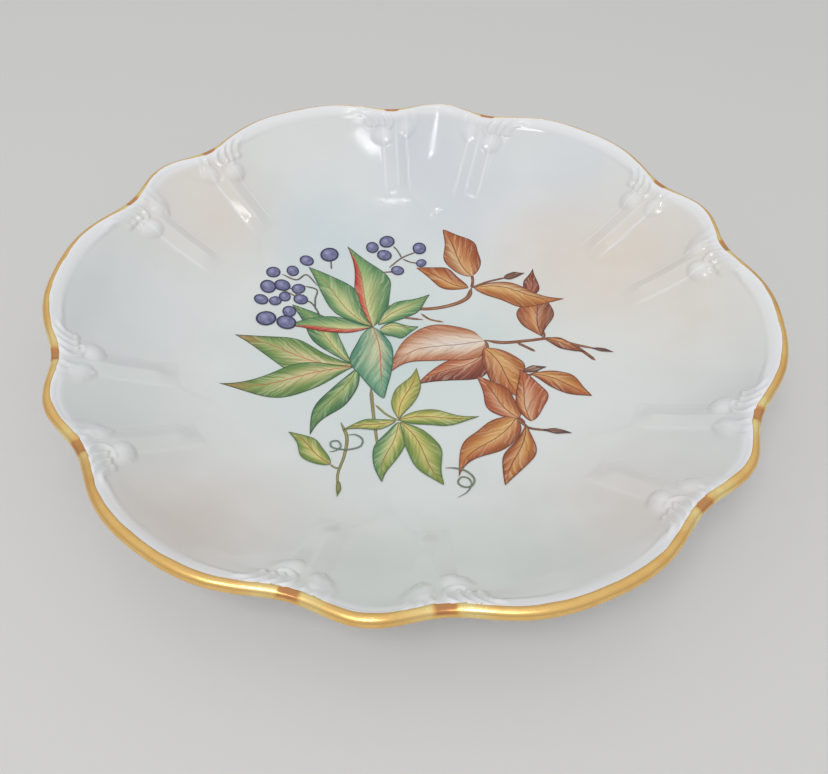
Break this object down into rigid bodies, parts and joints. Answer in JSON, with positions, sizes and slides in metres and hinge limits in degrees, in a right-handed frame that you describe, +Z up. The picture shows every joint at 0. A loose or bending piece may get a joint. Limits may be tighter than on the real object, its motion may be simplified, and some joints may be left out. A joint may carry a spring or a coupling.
{
  "type": "porcelain serving bowl",
  "caption": "Shallow lobed porcelain serving bowl on a foot ring, with moulded scrolls and ridges, a gilded lip and a painted spray of leaves and berries.",
  "frame": {"origin": "centre of the foot ring's base plane, on the bowl's axis", "axes": "+Z up along the bowl's axis, +X through the middle of a wide lobe, +Y through the middle of a narrow lobe"},
  "size_m": [0.28, 0.2746, 0.045],
  "materials": {
    "porcelain": null,
    "bisque": "glazed porcelain, left unglazed where it stands",
    "gilding": "burnished fired gold",
    "green_enamel": "glossy overglaze enamel",
    "rust_enamel": "glossy overglaze enamel",
    "berry_enamel": "glossy overglaze enamel",
    "stem_enamel": "glossy overglaze enamel"
  },
  "bodies": {
    "root": {"bowl_body": "porcelain", "foot_ring": "bisque", "gilt_rim": "gilding", "green_leaves": "green_enamel", "autumn_leaves": "rust_enamel", "berries": "berry_enamel", "stems": "stem_enamel", "tendrils": "stem_enamel"}
  },
  "joints": []
}
